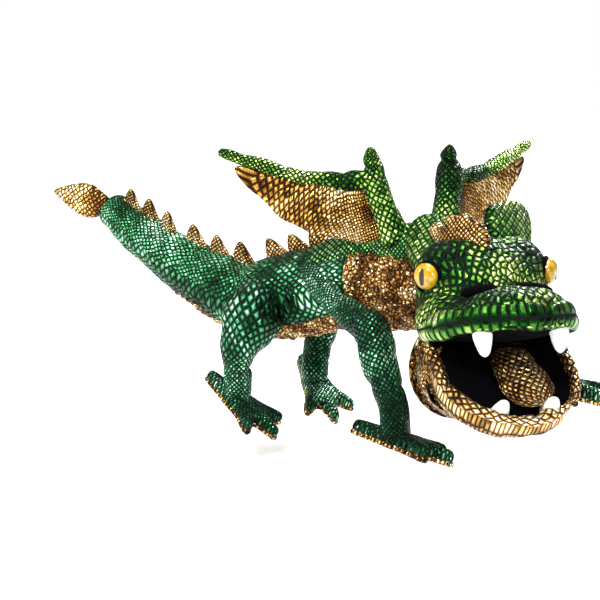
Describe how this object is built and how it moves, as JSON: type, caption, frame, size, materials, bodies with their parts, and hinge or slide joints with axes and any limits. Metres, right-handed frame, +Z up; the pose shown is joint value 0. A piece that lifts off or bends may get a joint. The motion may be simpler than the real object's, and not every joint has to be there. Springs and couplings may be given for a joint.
{
  "type": "moving mouth puppet",
  "caption": "Stuffed dragon glove puppet with scaly foil cloth: a hand in the head opens and shuts the mouth; stuffed neck, body, legs, wings and tail trail behind.",
  "frame": {"origin": "centre of the round hand opening under the neck", "axes": "+X the way the face looks and the hand goes in, +Y the dragon's left, +Z up; the hand opening's axis is -X, the way the hand leaves"},
  "size_m": [0.5171, 0.3991, 0.2369],
  "materials": {
    "green_foil_plush": "shiny printed foil scales on black plush",
    "gold_foil_plush": "shiny printed foil scales on dark brown plush",
    "black_lining": "matt black knit",
    "mouth_board": "flexible sheet",
    "polyester_fill": "loose white fibre",
    "tooth_felt": "soft white felt",
    "eye_yellow": "clear gloss over yellow",
    "pupil_black": "gloss black",
    "washer_white": "moulded"
  },
  "bodies": {
    "head": {"head_skin": "green_foil_plush", "head_stuffing": "polyester_fill", "glove_sleeve": "black_lining", "cuff_hem": "black_lining", "finger_pocket": "black_lining", "upper_mouth_board": "mouth_board", "upper_mouth_lining": "black_lining", "right_eye": "eye_yellow", "left_eye": "eye_yellow", "right_pupil": "pupil_black", "left_pupil": "pupil_black", "eye_washers": "washer_white", "right_nostril": "black_lining", "left_nostril": "black_lining", "right_ear": "green_foil_plush", "left_ear": "green_foil_plush", "head_crest": "gold_foil_plush", "upper_right_tooth": "tooth_felt", "upper_left_tooth": "tooth_felt"},
    "jaw": {"jaw_skin": "gold_foil_plush", "jaw_stuffing": "polyester_fill", "thumb_pocket": "black_lining", "lower_mouth_board": "mouth_board", "lower_mouth_lining": "black_lining", "tongue": "gold_foil_plush", "lower_right_tooth": "tooth_felt", "lower_left_tooth": "tooth_felt"},
    "torso": {"neck_back_panel": "green_foil_plush", "neck_throat_panel": "gold_foil_plush", "torso_back_panel": "green_foil_plush", "belly_panel": "gold_foil_plush", "torso_stuffing": "polyester_fill", "back_spikes": "gold_foil_plush"},
    "tail": {"tail_skin": "green_foil_plush", "tail_underside": "gold_foil_plush", "tail_stuffing": "polyester_fill", "tail_spikes": "gold_foil_plush"},
    "tail_end": {"tail_end_skin": "green_foil_plush", "tail_end_underside": "gold_foil_plush", "tail_end_stuffing": "polyester_fill", "tail_end_spikes": "gold_foil_plush", "tail_tip": "gold_foil_plush"},
    "right_front_leg": {"right_front_leg": "green_foil_plush", "right_front_foot": "green_foil_plush", "right_front_sole": "gold_foil_plush"},
    "right_hind_leg": {"right_hind_leg": "green_foil_plush", "right_hind_foot": "green_foil_plush", "right_hind_sole": "gold_foil_plush"},
    "right_wing": {"right_wing_arm": "green_foil_plush", "right_wing_edge": "green_foil_plush", "right_wing_membrane": "gold_foil_plush"},
    "left_front_leg": {"left_front_leg": "green_foil_plush", "left_front_foot": "green_foil_plush", "left_front_sole": "gold_foil_plush"},
    "left_hind_leg": {"left_hind_leg": "green_foil_plush", "left_hind_foot": "green_foil_plush", "left_hind_sole": "gold_foil_plush"},
    "left_wing": {"left_wing_arm": "green_foil_plush", "left_wing_edge": "green_foil_plush", "left_wing_membrane": "gold_foil_plush"}
  },
  "joints": [
    {"name": "jaw_hinge", "type": "hinge", "parent": "head", "child": "jaw", "pos_m": [0.075, 0, 0.035], "axis": [0, 1, 0], "range_deg": [-28, 10]},
    {"name": "neck_swing", "type": "hinge", "parent": "head", "child": "torso", "pos_m": [-0.008, -0.004, 0.077], "axis": [0, 0, 1], "range_deg": [-8, 8]},
    {"name": "tail_lift", "type": "hinge", "parent": "torso", "child": "tail", "pos_m": [-0.197, -0.122, 0.037], "axis": [0.6515, -0.7587, 0], "range_deg": [-5, 18]},
    {"name": "tail_swing", "type": "hinge", "parent": "tail", "child": "tail_end", "pos_m": [-0.262, -0.179, 0.068], "axis": [0, 0, 1], "range_deg": [-20, 20]},
    {"name": "right_front_leg_swing", "type": "hinge", "parent": "torso", "child": "right_front_leg", "pos_m": [-0.028, -0.066, 0.062], "axis": [0.2928, -0.9562, 0], "range_deg": [-25, 4]},
    {"name": "left_front_leg_swing", "type": "hinge", "parent": "torso", "child": "left_front_leg", "pos_m": [-0.05, 0.028, 0.068], "axis": [-0.2928, 0.9562, 0], "range_deg": [-4, 25]},
    {"name": "right_hind_leg_swing", "type": "hinge", "parent": "torso", "child": "right_hind_leg", "pos_m": [-0.142, -0.138, 0.034], "axis": [0.6, -0.8, 0], "range_deg": [-25, 25]},
    {"name": "left_hind_leg_swing", "type": "hinge", "parent": "torso", "child": "left_hind_leg", "pos_m": [-0.196, -0.058, 0.036], "axis": [-0.6, 0.8, 0], "range_deg": [-25, 25]},
    {"name": "right_wing_flap", "type": "hinge", "parent": "torso", "child": "right_wing", "pos_m": [-0.03951, -0.04327, 0.105], "axis": [0.9562, 0.2928, 0], "range_deg": [-18, 18]},
    {"name": "left_wing_flap", "type": "hinge", "parent": "torso", "child": "left_wing", "pos_m": [-0.0548, 0.00664, 0.105], "axis": [-0.9562, -0.2928, 0], "range_deg": [-18, 18]}
  ]
}
